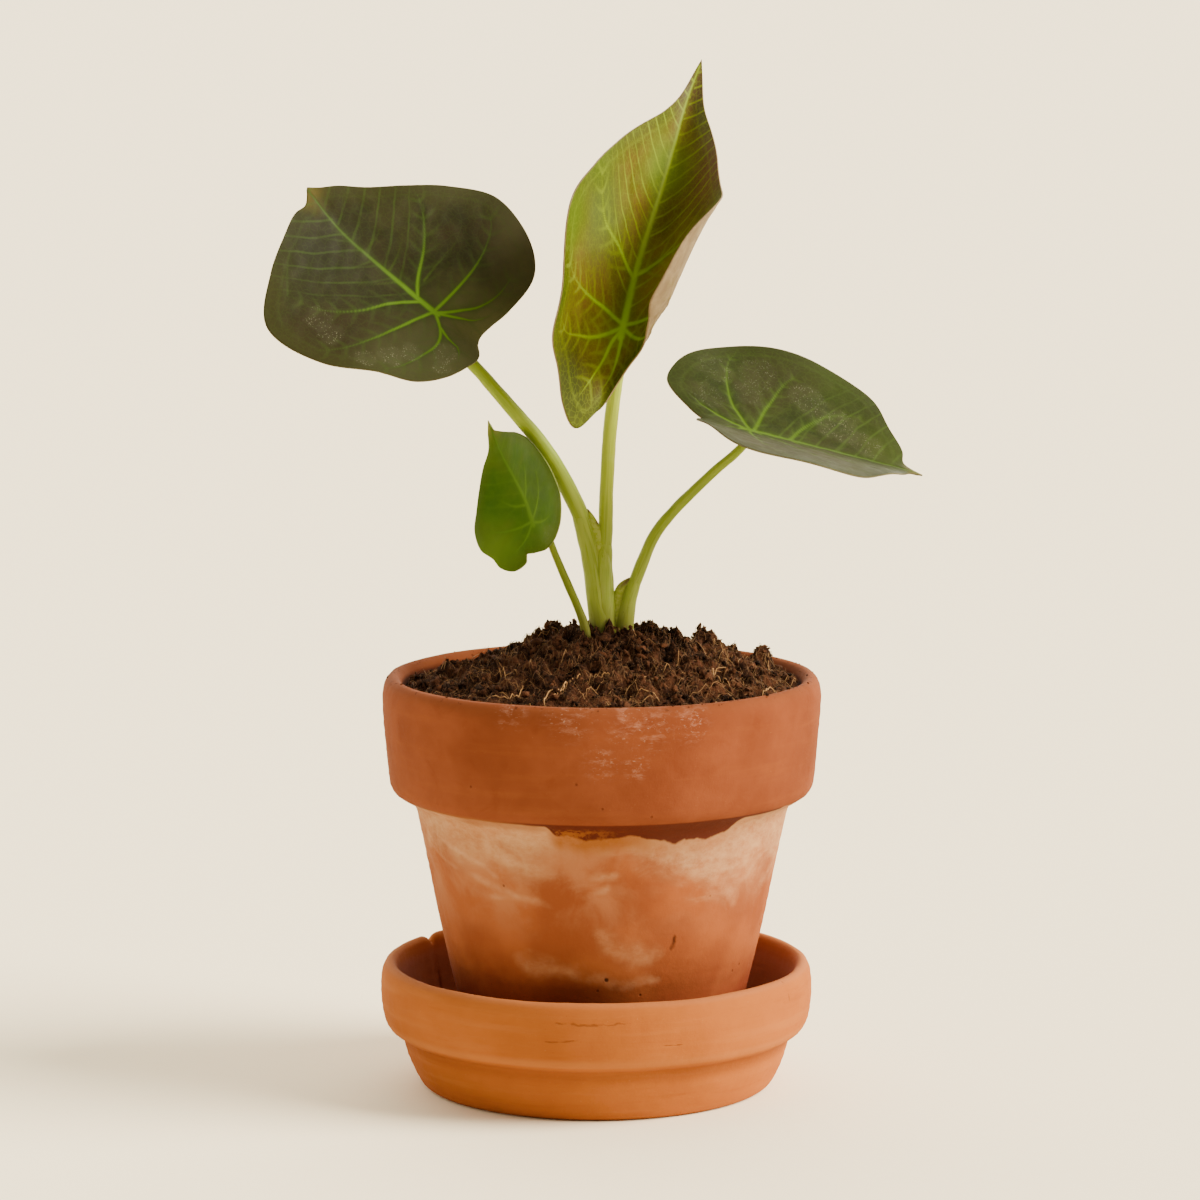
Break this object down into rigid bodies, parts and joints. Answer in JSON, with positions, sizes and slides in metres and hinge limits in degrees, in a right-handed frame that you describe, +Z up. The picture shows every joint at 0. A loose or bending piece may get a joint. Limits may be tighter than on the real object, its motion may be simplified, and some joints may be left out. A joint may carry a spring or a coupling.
{
  "type": "potted alocasia plant",
  "caption": "Potted alocasia house plant with dark shield-shaped leaves on arching stalks, in a terracotta pot with a rim band that stands on a terracotta saucer.",
  "frame": {"origin": "centre of the saucer's flat foot, on the surface the object stands on", "axes": "+Z up; the picture's viewer stands at -Y, +X is to the right as the viewer sees it"},
  "size_m": [0.1593, 0.108, 0.251],
  "materials": {
    "pale_terracotta": "unglazed fired clay, matt, lighter orange than the pot",
    "terracotta": "unglazed fired clay, matt, with pale mineral bloom",
    "potting_mix": "moist brown potting mix with coir fibre, matt",
    "pale_stalk": "smooth pale yellow-green stalk, satin",
    "dark_blade": "dark olive-brown leaf with pale green veins, satin",
    "olive_blade": "olive-gold leaf with pale green veins, satin",
    "dusty_blade": "dark green quilted leaf with pale veins and dusty specks, satin",
    "fresh_blade": "fresh green young leaf, satin"
  },
  "bodies": {
    "root": {"saucer": "pale_terracotta", "pot": "terracotta", "soil": "potting_mix", "stem": "pale_stalk", "petiole_left": "pale_stalk", "petiole_centre": "pale_stalk", "petiole_right": "pale_stalk", "petiole_small": "pale_stalk", "leaf_left": "dark_blade", "leaf_centre": "olive_blade", "leaf_right": "dusty_blade", "leaf_small": "fresh_blade"}
  },
  "joints": []
}
